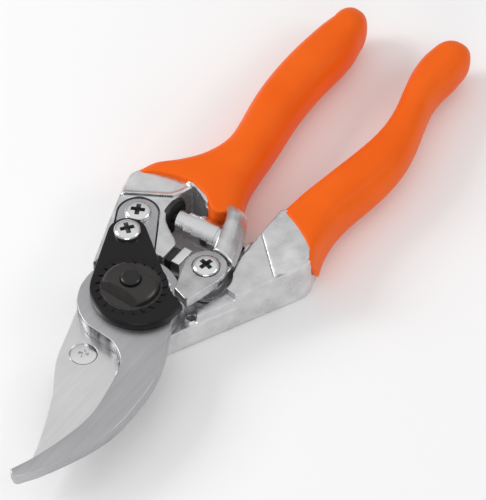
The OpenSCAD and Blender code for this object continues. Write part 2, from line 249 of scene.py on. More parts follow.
def lathe(name, profile, at=(0, 0), steps=96):
    """Turns a profile of (radius, height) about a vertical axis; it closes on the axis at both ends."""
    verts, faces = [], []
    for r, z in profile:
        ring = arc(max(r, 1e-4), 0, 360 * (steps - 1) / steps, steps - 1, at)
        verts += [(p[0], p[1], z) for p in ring]
    for i in range(len(profile) - 1):
        for k in range(steps):
            j = (k + 1) % steps
            faces.append((i * steps + k, i * steps + j, (i + 1) * steps + j, (i + 1) * steps + k))
    piece = new_piece(name, verts, faces)
    tidy(piece.data, 2e-7)
    return smooth_shade(piece, 40)


def eight_corners(name, verts):
    """A closed piece between two rings of four corners each."""
    sides = [(k, (k + 1) % 4, 4 + (k + 1) % 4, 4 + k) for k in range(4)]
    return new_piece(name, verts, sides + [(3, 2, 1, 0), (4, 5, 6, 7)])


def rod(name, radius, start, end, steps=48):
    """A closed cylinder between two points."""
    a, b = Vector(start), Vector(end)
    turn = (b - a).to_track_quat("Z", "Y").to_matrix()
    ring = [Vector((p[0], p[1], 0)) for p in arc(radius, 0, 360 * (steps - 1) / steps, steps - 1)]
    verts = [a + turn @ p for p in ring] + [b + turn @ p for p in ring]
    sides = [(k, (k + 1) % steps, steps + (k + 1) % steps, steps + k) for k in range(steps)]
    caps = [tuple(range(steps))[::-1], tuple(range(steps, 2 * steps))]
    return new_piece(name, verts, sides + caps)


def cast(piece, voxel=0.34, rounds=5):
    """Remeshes overlapping blocks into one skin and relaxes it, as a casting's fillets do."""
    skin = piece.modifiers.new("skin", "REMESH")
    skin.mode = "VOXEL"
    skin.voxel_size = voxel * MM
    relax = piece.modifiers.new("relax", "SMOOTH")
    relax.factor = 0.5
    relax.iterations = rounds
    apply_modifiers(piece)
    piece.data.shade_smooth()
    return piece


# %% [markdown]
# Each finish is a small node material on object coordinates. The castings need a fine
# tumbled grain with slow changes of brightness. Ground steel needs scratches stretched along one
# direction. The dip is smooth vinyl with a faint pebble.

# %% Material helpers


def material(name, colour, rough, metal=0.0, **extra):
    """A Principled material; extra sets more of the shader's own sockets by name."""
    m = bpy.data.materials.new(name)
    m.use_nodes = True
    shader = m.node_tree.nodes["Principled BSDF"]
    shader.inputs["Base Color"].default_value = (*colour, 1)
    shader.inputs["Roughness"].default_value = rough
    shader.inputs["Metallic"].default_value = metal
    for key, value in extra.items():
        shader.inputs[key.replace("_", " ")].default_value = value
    return m


def add_node(m, kind, **settings):
    """A node with its named inputs and properties set."""
    node = m.node_tree.nodes.new(kind)
    for key, value in settings.items():
        if key in node.inputs:
            node.inputs[key].default_value = value
        else:
            setattr(node, key, value)
    return node


def wire(m, a, output, b, entry):
    m.node_tree.links.new(a.outputs[output], b.inputs[entry])


def noise(m, scale, detail=4.0, stretch=(1, 1, 1), turn=0.0):
    """Noise on object coordinates in metres, stretched and turned about Z."""
    place = add_node(m, "ShaderNodeTexCoord")
    mapping = add_node(m, "ShaderNodeMapping", Scale=stretch, Rotation=(0, 0, turn))
    texture = add_node(m, "ShaderNodeTexNoise", Scale=scale, Detail=detail)
    wire(m, place, "Object", mapping, "Vector")
    wire(m, mapping, "Vector", texture, "Vector")
    return texture


def spread(m, texture, entry, low, high, start=0.3, end=0.7):
    """Drives a shader input from a texture between two values."""
    ramp = add_node(m, "ShaderNodeMapRange")
    ramp.inputs["From Min"].default_value = start
    ramp.inputs["From Max"].default_value = end
    ramp.inputs["To Min"].default_value = low
    ramp.inputs["To Max"].default_value = high
    wire(m, texture, "Fac", ramp, "Value")
    wire(m, ramp, "Result", m.node_tree.nodes["Principled BSDF"], entry)


def tint(m, texture, dark, light, start=0.3, end=0.7):
    """Drives the base colour from a texture between two colours."""
    ramp = add_node(m, "ShaderNodeValToRGB")
    ramp.color_ramp.elements[0].position = start
    ramp.color_ramp.elements[0].color = (*dark, 1)
    ramp.color_ramp.elements[1].position = end
    ramp.color_ramp.elements[1].color = (*light, 1)
    wire(m, texture, "Fac", ramp, "Fac")
    wire(m, ramp, "Color", m.node_tree.nodes["Principled BSDF"], "Base Color")


def bump(m, *layers):
    """Chains bump layers of (texture, strength, distance)."""
    last = None
    for texture, strength, distance in layers:
        node = add_node(m, "ShaderNodeBump", Strength=strength, Distance=distance)
        wire(m, texture, "Fac", node, "Height")
        if last:
            wire(m, last, "Normal", node, "Normal")
        last = node
    wire(m, last, "Normal", m.node_tree.nodes["Principled BSDF"], "Normal")


# %% Cast aluminium: bright, softly mottled, with a fine tumbled grain
cast_alloy = material("cast_alloy", (0.68, 0.68, 0.685), 0.36, 0.9)
mottle = noise(cast_alloy, 160, 5)
grain = noise(cast_alloy, 1700, 3)
tint(cast_alloy, mottle, (0.6, 0.6, 0.61), (0.8, 0.8, 0.805))
spread(cast_alloy, mottle, "Roughness", 0.22, 0.4)
bump(cast_alloy, (mottle, 0.3, 0.0006), (grain, 0.2, 0.0001))

# Lever finish: a darker copy of the cast alloy, painted shade for the dark reflection on the lever's flat
# face.
lever_painted_shade = material("lever_painted_shade", (0.5, 0.5, 0.505), 0.3, 0.9)
swirl = noise(lever_painted_shade, 200, 4)
tint(lever_painted_shade, swirl, (0.42, 0.42, 0.43), (0.62, 0.62, 0.625))
spread(lever_painted_shade, swirl, "Roughness", 0.2, 0.36)
bump(lever_painted_shade, (swirl, 0.3, 0.0005))

# %% Orange dip: smooth vinyl with a faint pebble and slow changes of gloss
grip_dip = material("grip_dip", (0.9, 0.13, 0.006), 0.45, 0.0, Specular_IOR_Level=0.12)
cloud = noise(grip_dip, 60, 3)
pebble = noise(grip_dip, 1400, 2)
tint(grip_dip, cloud, (0.87, 0.118, 0.004), (0.92, 0.138, 0.007))
spread(grip_dip, cloud, "Roughness", 0.36, 0.46)
bump(grip_dip, (pebble, 0.1, 0.00005))

# %% Ground steels: long fine scratches, lighter on the blade than on the hook


def ground_steel(name, dark, light, turn, rough):
    m = material(name, light, rough, 1.0)
    lines = noise(m, 900, 4, (1.0, 0.05, 1.0), turn)
    patches = noise(m, 90, 3)
    tint(m, lines, dark, light)
    spread(m, patches, "Roughness", rough - 0.05, rough + 0.08)
    bump(m, (lines, 0.06, 0.00004))
    return m


blade_steel = ground_steel("blade_steel", (0.76, 0.76, 0.77), (0.82, 0.82, 0.825), math.radians(60), 0.3)
hook_steel = ground_steel(
    "hook_steel", (0.48, 0.48, 0.495), (0.54, 0.54, 0.555), math.radians(-10), 0.38)

# Near-black steel for the hook's inner edge wall: a painted dark reflection on the upright faces along
# the jaw's curve.
hook_edge_painted_reflection = material("hook_edge_painted_reflection", (0.1, 0.1, 0.105), 0.3, 1.0)
edge_reflection_streaks = noise(hook_edge_painted_reflection, 420, 5, (1, 1, 0.12))
tint(hook_edge_painted_reflection, edge_reflection_streaks, (0.03, 0.03, 0.033), (0.3, 0.3, 0.31))
spread(hook_edge_painted_reflection, edge_reflection_streaks, "Roughness", 0.2, 0.4)

# %% Plated screws, spring strip, black coat and rubber
screw_steel = material("screw_steel", (0.82, 0.82, 0.83), 0.16, 1.0)
plating = noise(screw_steel, 500, 4)
spread(screw_steel, plating, "Roughness", 0.1, 0.24)
bump(screw_steel, (plating, 0.08, 0.00006))

# Near-black metal for the screws' cross recesses: painted shade for the dark inside of each recess.
recess_painted_shade = material("recess_painted_shade", (0.09, 0.09, 0.095), 0.5, 0.8)
recess_shade_grain = noise(recess_painted_shade, 900, 3)
tint(recess_painted_shade, recess_shade_grain, (0.05, 0.05, 0.052), (0.16, 0.16, 0.165))

spring_steel = material("spring_steel", (0.74, 0.74, 0.75), 0.2, 1.0)
rolled = noise(spring_steel, 700, 4, (0.06, 1, 1))
spread(spring_steel, rolled, "Roughness", 0.14, 0.3)
bump(spring_steel, (rolled, 0.08, 0.00005))

black_coat = material("black_coat", (0.008, 0.007, 0.007), 0.22, 0.0, Specular_IOR_Level=0.25)
orange_peel = noise(black_coat, 900, 3)
spread(black_coat, orange_peel, "Roughness", 0.16, 0.3)
bump(black_coat, (orange_peel, 0.1, 0.00006))

nut_coat = material("nut_coat", (0.016, 0.013, 0.012), 0.3, 0.0, Specular_IOR_Level=0.55)
film = noise(nut_coat, 700, 3)
spread(nut_coat, film, "Roughness", 0.24, 0.36)
bump(nut_coat, (film, 0.1, 0.00006))

bolt_black = material("bolt_black", (0.01, 0.009, 0.009), 0.3, 0.0, Specular_IOR_Level=0.4)
turning = noise(bolt_black, 1200, 3)
spread(bolt_black, turning, "Roughness", 0.28, 0.42)
bump(bolt_black, (turning, 0.08, 0.00005))

bronze = material("bronze", (0.5, 0.3, 0.12), 0.35, 1.0)
pores = noise(bronze, 2200, 2)
tint(bronze, pores, (0.34, 0.19, 0.07), (0.56, 0.35, 0.15))

buffer_rubber = material("buffer_rubber", (0.012, 0.012, 0.012), 0.62)
dust = noise(buffer_rubber, 1500, 3)
tint(buffer_rubber, dust, (0.008, 0.008, 0.008), (0.025, 0.024, 0.023))
bump(buffer_rubber, (dust, 0.2, 0.00008))
print("materials:", len(bpy.data.materials))

# %% [markdown]
# A helper finishes every piece in one line: its material, the body that it moves with and the working
# solids that it stands for.

# %% Finish helper


def finish_piece(piece, finish, body, nodes):
    piece.data.materials.clear()
    piece.data.materials.append(finish)
    if body:
        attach(piece, body)
    if nodes:
        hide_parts(*nodes)
    print(f"{piece.name}: {len(piece.data.polygons)} faces on {body or 'two bodies'}")
    spots = [v.co / MM for v in piece.data.vertices]
    print("   box", [round(f(v[i] for v in spots), 1) for i in range(3) for f in (min, max)])
    for node in nodes:
        low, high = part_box(node)
        print("  cad", [round(v / MM, 1) for pair in zip(low, high) for v in pair], node)
    return piece


# %% [markdown]
# ## Grips
# The grips are dipped vinyl over the cast cores, so they have no seams: one smooth skin with a rolled
# lip where it ends on the casting. Each is lofted through a row of left and right edge points. The
# section is a softened ellipse. The first ring isn't flat. It follows the line where the dip ends.

# %% Grip loft


LIP = 0.9


def grip(name, stations, dip, tip, centre_z, half_height, lean=lambda p: 0.0):
    """Lofts a grip through (left, right, height factor) stations, starting on the dip line."""
    steps = 72
    left = smooth([s[0] for s in stations], 5)
    right = smooth([s[1] for s in stations], 5)
    tall = [v[0] for v in smooth([(s[2], 0) for s in stations], 5)]
    shade = smooth(dip, 10)

    def dip_y(x):
        for a, b in zip(shade, shade[1:]):
            if a[0] <= x <= b[0]:
                return a[1] + (b[1] - a[1]) * (x - a[0]) / max(b[0] - a[0], 1e-6)
        return shade[0][1] if x < shade[0][0] else shade[-1][1]

    def power(u, bend=0.78):
        return math.copysign(abs(u) ** bend, u)

    def ring(l, r, h, scale=1.0, shift=(0, 0), bend=0.78):
        out = []
        for k in range(steps):
            a = 2 * math.pi * k / steps
            mid = (l + r) / 2 + (r - l) / 2 * power(math.cos(a), bend) * scale
            z = centre_z + h * half_height * power(math.sin(a), bend) * scale
            out.append(Vector((mid[0] + shift[0], mid[1] + shift[1], z)))
        return out

    bends = [0.78 - 0.36 * max(0.0, 1 - i / 22) ** 2 for i in range(len(left))]
    rings = [ring(l, r, h, bend=b) for l, r, h, b in zip(left, right, tall, bends)]
    moves = [dip_y(p[0]) + lean(p) - p[1] for p in rings[0]]
    for i, row in enumerate(rings):
        fade = max(0.0, 1 - i / 12) ** 2
        for p, move in zip(row, moves):
            p[1] += move * fade
    lip = []
    for t in (0, 22, 45, 68):
        inset = LIP * (1 - math.sin(math.radians(t)))
        back = LIP * (1 - math.cos(math.radians(t)))
        row = []
        for k, p in enumerate(rings[0]):
            a = 2 * math.pi * k / steps
            moved = Vector((p[0] - inset * power(math.cos(a)), p[1], p[2] - inset * power(math.sin(a))))
            moved[1] += back - LIP
            row.append(moved)
        lip.append(row)
    last_l, last_r = left[-1], right[-1]
    c = (last_l + last_r) / 2
    cap = []
    for i in range(1, 11):
        phi = math.radians(9 * i)
        go = (Vector(tip) - c) * math.sin(phi)
        cap.append(ring(last_l, last_r, tall[-1], max(math.cos(phi), 0.02), go))
    rows = lip + rings + cap
    verts = [v for row in rows for v in row]
    faces = []
    for i in range(len(rows) - 1):
        for k in range(steps):
            j = (k + 1) % steps
            faces.append((i * steps + k, (i + 1) * steps + k, (i + 1) * steps + j, i * steps + j))
    for k in range(steps // 2):
        faces.append((k, k + 1, (steps - k - 1) % steps, (steps - k) % steps))
    faces.append(tuple(range((len(rows) - 1) * steps, len(rows) * steps))[::-1])
    piece = new_piece(name, verts, faces)
    piece.data.shade_smooth()
    return piece


# %% Upper grip
GRIP_Z = 9.3
GRIP_HALF = 8.2
upper_stations = [
    ((-27.8, 41.0), (8.2, 46.8), 1.0), ((-26.4, 46.2), (5.8, 50.4), 1.0),
    ((-21.8, 51.2), (3.9, 54.8), 1.0), ((-17.4, 57.0), (2.6, 59.6), 1.0),
    ((-14.8, 63.0), (1.7, 65.0), 0.98), ((-13.8, 69.0), (0.9, 70.8), 0.96),
    ((-14.6, 75.4), (0.0, 77.2), 0.95), ((-16.2, 82.4), (-1.2, 84.2), 0.94),
    ((-17.8, 90.4), (-2.4, 92.0), 0.94),
    ((-18.8, 99.0), (-3.1, 100.2), 0.94), ((-19.2, 108.0), (-3.3, 108.6), 0.94),
    ((-19.0, 117.0), (-3.0, 117.0), 0.94), ((-18.3, 126.0), (-3.4, 124.6), 0.92),
    ((-17.2, 132.0), (-4.6, 130.2), 0.9)]
upper_dip = [
    (-29.5, 40.0), (-27.4, 40.4), (-23.2, 42.8), (-16.6, 44.8), (-11.5, 45.8), (-8.6, 46.0),
    (-6.2, 45.6),
    (-3.2, 43.8), (0.0, 41.2), (2.4, 40.0), (4.4, 40.6), (6.2, 43.0), (8.4, 46.8)]
upper_grip = grip("upper_grip", upper_stations, upper_dip, (-11.8, 140.9), GRIP_Z, GRIP_HALF)
finish_piece(upper_grip, grip_dip, "hook_side", ["hook_grip"])

# %% Lower grip
lower_stations = [
    ((18.2, 52.2), (37.0, 44.6), 1.0), ((18.4, 57.0), (35.2, 50.8), 1.0),
    ((18.6, 63.0), (34.2, 58.6), 1.0), ((19.4, 70.0), (34.6, 67.0), 0.98),
    ((20.4, 77.8), (36.0, 76.4), 0.96), ((21.6, 85.6), (36.7, 85.4), 0.94),
    ((22.6, 94.2), (36.2, 94.6), 0.92), ((22.6, 102.2), (34.4, 103.0), 0.9),
    ((21.2, 110.6), (31.8, 111.4), 0.88),
    ((18.9, 118.6), (29.6, 119.0), 0.88), ((16.9, 126.4), (28.9, 125.8), 0.88),
    ((16.2, 133.4), (29.4, 132.8), 0.88), ((16.7, 138.6), (29.3, 137.6), 0.87)]
lower_dip = [
    (16.0, 52.4), (19.0, 51.6), (23.8, 50.3), (28.2, 48.2), (32.0, 45.8), (34.8, 43.4),
    (37.4, 40.2), (39.0, 38.4)]
lower_grip = grip("lower_grip", lower_stations, lower_dip, (23.6, 147.0), GRIP_Z, GRIP_HALF,
                  lambda p: 0.035 * max(0.0, p[0] - 27) * max(0.0, 16 - p[2]))
finish_piece(lower_grip, grip_dip, "blade_side", ["blade_grip"])

# %% [markdown]
# ## Cast handles
# A die-cast handle is a heavy plate with ribs, pads and pockets that run into each other with small
# radii. Cutting sharp blocks and then relaxing one remeshed skin gives the same look with little work.

# %% Upper handle


def groove(start, end, z, half_width, depth):
    """A narrow cutter along a line, with its mouth open above the surface."""
    a, b = Vector(start), Vector(end)
    across = Vector((-(b - a)[1], (b - a)[0])).normalized()
    foot = half_width * 0.6
    section = [(-half_width, 3), (half_width, 3), (foot, -depth), (-foot, -depth)]
    return eight_corners("groove", [(*(p + across * out), z + up) for p in (a, b) for out, up in section])


def ramp(point_a, point_b, z_front, rise):
    """Height that climbs behind the line through two points, as a function of the place."""
    a, b = Vector(point_a), Vector(point_b)
    normal = Vector((-(b - a)[1], (b - a)[0])).normalized()
    return lambda p: z_front + rise * max(0.0, (Vector((p[0], p[1])) - a).dot(normal))


head_outline = (
    [(-0.4, 12.0), (-2.0, 8.0), (-15.0, -1.0), (-22.4, 18.6), (-27.6, 33.4)]
    + smooth([(-28.5, 37.0), (-28.7, 39.0), (-28.2, 40.6), (-26.4, 44.0)], 3)
    + [(-16.0, 48.0), (0.0, 48.0), (5.0, 47.0), (6.4, 45.0), (4.6, 41.6), (1.6, 40.6)]
    + smooth([(-1.2, 41.0), (-5.6, 45.6), (-8.8, 45.4), (-10.4, 41.6), (-11.1, 38.0), (-11.0, 34.3),
              (-9.6, 30.8), (-6.6, 27.9), (-2.4, 25.2)], 5)
    + [(-0.6, 23.4)])
ramp_outline = [(-25.9, 30.6), (-27.9, 37.0), (-27.6, 39.4), (-25.4, 42.4), (-9.4, 47.0), (-9.6, 44.8),
                (-10.8, 41.0), (-12.7, 38.5)]
collar_outline = [(-11.6, 44.8), (-9.6, 44.3), (-7.6, 44.0), (-5.4, 42.8), (-3.0, 41.4), (-1.8, 40.9),
                  (-0.8, 42.2), (-3.0, 44.2), (-6.0, 46.2), (-8.6, 46.6), (-11.6, 46.6)]
bead_height = HOOK_TOP + 0.4
bead_line = [(-25.4, 30.9), (-13.0, 38.3), (-11.3, 41.0), (-10.2, 44.4)]
tail_pocket = link(TAIL_ROOT, 7.35, HOOK_SCREW, 6.75)
neck_stations = [
    ((-0.5, 44.0), (7.0, 48.0), 13.5, 9.0), ((3.4, 42.6), (9.6, 46.2), 17.0, 12.0),
    ((6.0, 40.6), (12.0, 43.2), 18.4, 14.5), ((7.6, 37.4), (14.2, 39.4), NECK_TOP, 14.5),
    ((8.9, 33.4), (16.3, 34.8), NECK_TOP, 14.5), ((10.2, 29.4), (18.2, 30.2), NECK_TOP, 14.6),
    ((11.4, 25.6), (19.8, 25.0), NECK_TOP, 14.9)]


def ridge(name, stations):
    """Lofts a bar with a rounded crest on its left and a long flank falling to its right."""
    shape = [(0, 0), (0, 0.62), (0.1, 0.88), (0.26, 1), (0.42, 1), (0.62, 0.84), (0.84, 0.5),
             (1, 0.14), (1, 0)]
    n = len(shape)
    verts = []
    for left, right, top, low in stations:
        for across, up in shape:
            spot = Vector(left).lerp(Vector(right), across)
            verts.append((spot[0], spot[1], low + (top - low) * up))
    faces = [tuple(range(n)), tuple(range(len(verts) - n, len(verts)))[::-1]]
    for i in range(len(stations) - 1):
        for k in range(n):
            j = (k + 1) % n
            faces.append((n * i + k, n * i + j, n * (i + 1) + j, n * (i + 1) + k))
    return new_piece(name, verts, faces)


block = prism("block", head_outline, 1.4, HOOK_TOP)
cut(block,
    rod("clear", CUT_RADIUS, (0, 0, -5), (0, 0, 30), 128),
    rod("seat", 5.9, (-11.3, SPRING_Y, SPRING_Z), (3, SPRING_Y, SPRING_Z)))
head = joined("head", [
    block,
    prism("ramp", ramp_outline, 10, ramp((-25.9, 30.6), (-12.7, 38.5), HOOK_TOP + 0.55, 0.07)),
    prism("collar", collar_outline, 3, 16.7),
    *[rod("bead", 0.7, (*a, bead_height), (*b, bead_height)) for a, b in zip(bead_line, bead_line[1:])],
])
neck = joined("neck", [
    ridge("bridge", neck_stations),
    prism("root", [(1.0, 47.0), (5.4, 47.0), (6.4, 45.0), (4.6, 41.6), (1.6, 41.2)], 5, 15),
    prism("web", [(18.6, 25.5), (17.4, 29.4), (10.9, 29.4), (11.8, 25.5)], TAB_LOW, NECK_TOP - 2),
    prism("tab", [(18.7, 26.0), (11.9, 26.0), (8.9, 20.6), (18.7, 20.0)], TAB_LOW, HOOK_TOP),
    rod("tab_end", 6.1, (*CATCH_SCREW, TAB_LOW), (*CATCH_SCREW, HOOK_TOP)),
])
cast(neck, 0.28, 7)
cast(head, 0.34, 4)
cut(head,
    prism("pocket", tail_pocket, HOOK_LOW - 0.3, 30),
    groove((-27.2, 29.2), (-12.2, 38.1), HOOK_TOP, 0.35, 0.45))
upper_handle = joined("upper_handle", [head, neck])
smooth_shade(upper_handle, 40)
finish_piece(upper_handle, cast_alloy, "hook_side", ["hook_handle"])

# %% Lower handle
wall_line = [(15.2, -5.2), (35.2, 35.8), (36.4, 39.0), (36.5, 41.4), (35.4, 43.6), (34.6, 47.0),
             (29.0, 50.2), (20.4, 53.2), (19.3, 52.4), (18.3, 51.2)]
inner_wall = smooth([(18.3, 46.0), (18.0, 40.0), (18.4, 35.0), (18.5, 30.6)], 4)
floor_outline = wall_line + inner_wall + [(16.4, 29.4), (9.0, 26.6), (5.7, 24.0), (5.7, 14.0), (0, 0)]
deck_outline = [(26.0, 17.0)] + wall_line[1:] + inner_wall + arc(8.0, 38, -8, 8, CATCH_SCREW)
plateau_outline = [(18.2, 41.6), (31.5, 29.3), (35.1, 36.2), (36.2, 39.0), (36.2, 40.6), (34.0, 44.4),
                   (29.0, 48.6), (20.6, 52.2), (19.3, 52.0), (18.5, 51.0)]
plateau = prism("plateau", plateau_outline, 6, ramp((18.0, 41.6), (31.5, 29.3), 15.1, 0.22))
cap = prism("cap", [(0, 0), (60, 0), (60, 80), (0, 80)], ROOT_TOP + 0.1, 40)
cut(plateau, cap)
lower = joined("lower_handle", [
    prism("head", arc(15.5, 0, 357, 119), 0, BLADE_LOW),
    prism("nose", link((0, 0), 15.4, BLADE_SCREW, 6), 0.2, BLADE_LOW - 0.02),
    prism("floor", floor_outline, 0.2, FLOOR_TOP),
    prism("deck", deck_outline, 0.2, 14.7),
    prism("rim", [(19.9, 5.2), (26.0, 17.4), (22.3, 20), (21.6, 16), (19.5, 11), (17.9, 8)], 0.2, 12.3),
    rod("boss", 4.6, (16.8, SPRING_Y, SPRING_Z), (22, SPRING_Y, SPRING_Z)),
    plateau,
])
cast(lower, 0.34, 4)
cut(lower,
    groove((16.6, 42.7), (31.0, 29.2), 14.7, 0.4, 0.9),
    rod("over_floor", 15.75, (0, 0, BLADE_LOW - 0.01), (0, 0, 30), 128),
    rod("bolt_pocket", 8.4, (0, 0, -1), (0, 0, 2.45), 96))
smooth_shade(lower, 40)
finish_piece(lower, cast_alloy, "blade_side", ["blade_handle"])

# %% [markdown]
# ## Jaws
# Both jaws are flat steel. The hook is a thick plate with broken edges and a wire notch near its tip.
# The cutting blade is ground to its edge on the upper side, which a swept wedge takes off.

# %% Hooked counter blade
hook_outline = (
    smooth([(-9.0, 12.0), (-14.2, 3.0), (-14.6, -4.0), (-12.8, -9.4), (-9.5, -13.8), (-4.2, -17.0),
            (2.0, -17.7), (7.2, -18.6), (12.0, -21.9), (14.4, -26.4), (16.4, -34.6), (17.6, -42.0),
            (17.4, -49.0), (16.0, -56.6), (13.6, -65.6), (10.8, -72.8)])
    + [(12.0, -73.9), (13.8, -73.5)]
    + smooth([(17.2, -68.4), (20.8, -61.0), (24.2, -52.4), (26.2, -44.0), (26.3, -34.0), (25.2, -23.8),
              (22.4, -14.2), (19.0, -7.2), (16.0, -1.0), (14.9, 4.0)])
    + arc(14.6, 22, 98, 16))
hook = plate("counter_blade", hook_outline, HOOK_LOW, HOOK_TOP, 0.35)
tail = plate("hook_tail", link(TAIL_ROOT, 7.0, HOOK_SCREW, 6.2), HOOK_LOW + 0.01, HOOK_TOP - 0.01, 0.3)
weld = hook.modifiers.new("weld", "BOOLEAN")
weld.object = tail
weld.operation = "UNION"
apply_modifiers(hook)
bpy.data.objects.remove(tail)
notch = rod("notch", 1.1, (9.0, -73.3, HOOK_LOW - 1), (14.5, -75.2, HOOK_LOW + 2.2))
cut(hook, notch)
smooth_shade(hook)
finish_piece(hook, hook_steel, "hook_side", ["hook_blade"])
# The upright faces on the hook's inner curve get the near-black finish: painted dark reflection.
hook.data.materials.append(hook_edge_painted_reflection)
for face in hook.data.polygons:
    middle = face.center / MM
    upright = abs(face.normal[2]) < 0.6
    faces_jaw = face.normal[0] * 0.4 - face.normal[1] > 0.2
    if upright and faces_jaw and -22.5 < middle[1] < 0 and middle[0] < 12.5:
        face.material_index = 1

# %% Cutting blade
edge_path = smooth([(12.6, -68.6), (15.2, -65.0), (19.4, -55.0), (21.6, -45.0), (21.2, -35.0),
                    (18.6, -25.6), (15.4, -17.6), (14.2, -10.0)])
blade_outline = (
    arc(14.4, -20, 215, 60)
    + smooth([(-12.0, -11.0), (-8.6, -20.4), (-5.4, -29.6), (-2.0, -35.6), (2.8, -43.2), (7.4, -53.0),
              (10.6, -61.2), (12.6, -68.6)])
    + edge_path[1:])


def swept_wedge(name, path, width, drop, top):
    """A wedge along a path that grinds a plate's upper side down to an edge."""
    rows = []
    for i, p in enumerate(path):
        ahead = path[min(i + 1, len(path) - 1)] - path[max(i - 1, 0)]
        inwards = Vector((-ahead[1], ahead[0])).normalized()
        a, b = p + inwards * width, p - inwards * 2.0
        slope = drop * (width + 2.0) / width
        rows.append([(*a, top + 0.02), (*b, top - slope), (*b, top + 2), (*a, top + 2)])
    verts = [v for row in rows for v in row]
    faces = [(0, 1, 2, 3), tuple(range(len(verts) - 4, len(verts)))[::-1]]
    for i in range(len(rows) - 1):
        for k in range(4):
            j = (k + 1) % 4
            faces.append((4 * i + k, 4 * i + j, 4 * (i + 1) + j, 4 * (i + 1) + k))
    return new_piece(name, verts, faces)


countersink_profile = [
    (0, 4), (2.4, 4), (2.4, BLADE_TOP - 1.9), (4.3, BLADE_TOP + 0.02), (4.3, 20), (0, 20)]
blade = plate("cutting_edge", blade_outline, BLADE_LOW, BLADE_TOP, 0.12, [arc(5.6, 0, 355, 71)])
cut(blade,
    swept_wedge("grind", edge_path, 5.6, 2.6, BLADE_TOP),
    lathe("countersink", countersink_profile, BLADE_SCREW))
smooth_shade(blade, 25)
finish_piece(blade, blade_steel, "blade_side", ["cutting_blade"])

# %% [markdown]
# ## Fasteners
# The three pan heads are the same screw, so one head is turned, its cross recess is cut once, and a
# small geometry tree puts copies on a cloud of points. The tree's inputs are the head and its turn.

# %% Geometry tree helpers


def geometry_tree(name, inputs):
    """A node group with a geometry output and named inputs of (name, socket type, default)."""
    group = bpy.data.node_groups.new(name, "GeometryNodeTree")
    group.interface.new_socket("Geometry", in_out="INPUT", socket_type="NodeSocketGeometry")
    for label, kind, default in inputs:
        entry = group.interface.new_socket(label, in_out="INPUT", socket_type=kind)
        if default is not None:
            entry.default_value = default
    group.interface.new_socket("Geometry", in_out="OUTPUT", socket_type="NodeSocketGeometry")
    return group


def tree_node(group, kind, **settings):
    node = group.nodes.new(kind)
    for key, value in settings.items():
        setattr(node, key, value)
    return node


def close_tree(group, last, entry):
    """Ends the tree in Realize Instances and Set Material."""
    real = tree_node(group, "GeometryNodeRealizeInstances")
    paint = tree_node(group, "GeometryNodeSetMaterial")
    out = tree_node(group, "NodeGroupOutput")
    group.links.new(last, real.inputs[0])
    group.links.new(real.outputs[0], paint.inputs["Geometry"])
    group.links.new(entry.outputs["Finish"], paint.inputs["Material"])
    group.links.new(paint.outputs[0], out.inputs[0])


def grown(name, group, values, base=None):
    """Runs a geometry tree and returns its result as a plain mesh piece."""
    mesh = base or bpy.data.meshes.new(name)
    carrier = bpy.data.objects.new(name, mesh)
    bpy.context.scene.collection.objects.link(carrier)
    modifier = carrier.modifiers.new("tree", "NODES")
    modifier.node_group = group
    for item in group.interface.items_tree:
        if item.in_out == "INPUT" and item.name in values:
            modifier[item.identifier] = values[item.name]
    apply_modifiers(carrier)
    tidy(carrier.data, 1e-7)
    return carrier


# %% Screw heads
pan_profile = [(0, -0.3), (3.1, -0.3), (3.1, 0.0), (4.0, 0.05), (4.12, 0.3), (4.12, 0.9), (4.0, 1.25),
               (3.6, 1.62), (2.9, 1.85), (1.6, 1.98), (0, 2.02)]


def cross_recess(at, z, depth, turn, size=1.0):
    """Two crossed tapering slots."""
    slots = []
    for quarter in (0, 90):
        a = math.radians(turn + quarter)
        along, across = Vector((math.cos(a), math.sin(a))), Vector((-math.sin(a), math.cos(a)))
        rows = []
        mouth, foot = (2.9 * size, 0.95 * size, z + 1), (1.3 * size, 0.4 * size, z - depth)
        for half, width, height in (mouth, foot):
            for u, v in ((-1, -1), (1, -1), (1, 1), (-1, 1)):
                p = Vector(at) + along * half * u + across * width * v
                rows.append((p[0], p[1], height))
        sides = [(k, 4 + k, 4 + (k + 1) % 4, (k + 1) % 4) for k in range(4)]
        slots.append(new_piece("slot", rows, [(0, 1, 2, 3), (7, 6, 5, 4)] + sides))
    return slots


pan_head = lathe("pan_head", pan_profile, (0, 0), 64)
cut(pan_head, *cross_recess((0, 0), 2.0, 1.5, 25))
smooth_shade(pan_head, 35)

screw_tree = geometry_tree("Screws on points", [
    ("Head", "NodeSocketObject", None), ("Turn", "NodeSocketFloat", 0.7),
    ("Finish", "NodeSocketMaterial", None)])
entry = tree_node(screw_tree, "NodeGroupInput")
head_info = tree_node(screw_tree, "GeometryNodeObjectInfo")
place = tree_node(screw_tree, "GeometryNodeInstanceOnPoints")
number = tree_node(screw_tree, "GeometryNodeInputIndex")
step = tree_node(screw_tree, "ShaderNodeMath", operation="MULTIPLY")
spin = tree_node(screw_tree, "ShaderNodeCombineXYZ")
links = screw_tree.links
links.new(entry.outputs["Head"], head_info.inputs["Object"])
links.new(entry.outputs["Geometry"], place.inputs["Points"])
links.new(head_info.outputs["Geometry"], place.inputs["Instance"])
links.new(number.outputs[0], step.inputs[0])
links.new(entry.outputs["Turn"], step.inputs[1])
links.new(step.outputs[0], spin.inputs["Z"])
links.new(spin.outputs[0], place.inputs["Rotation"])
close_tree(screw_tree, place.outputs[0], entry)

screw_points = bpy.data.meshes.new("screw_points")
seats = [(*HOOK_SCREW, HOOK_TOP), (*PLATE_SCREW, PLATE_TOP), (*CATCH_SCREW, CATCH_TOP - 0.9)]
screw_points.from_pydata([tuple(Vector(p) * MM) for p in seats], [], [])
screws = grown(
    "pan_screws", screw_tree, {"Head": pan_head, "Turn": 0.45, "Finish": screw_steel}, screw_points)
bpy.data.objects.remove(pan_head)
smooth_shade(screws, 35)
screw_nodes = ["hook_screw", "lock_plate_screw", "catch_screw"]
finish_piece(screws, screw_steel, "hook_side", screw_nodes)


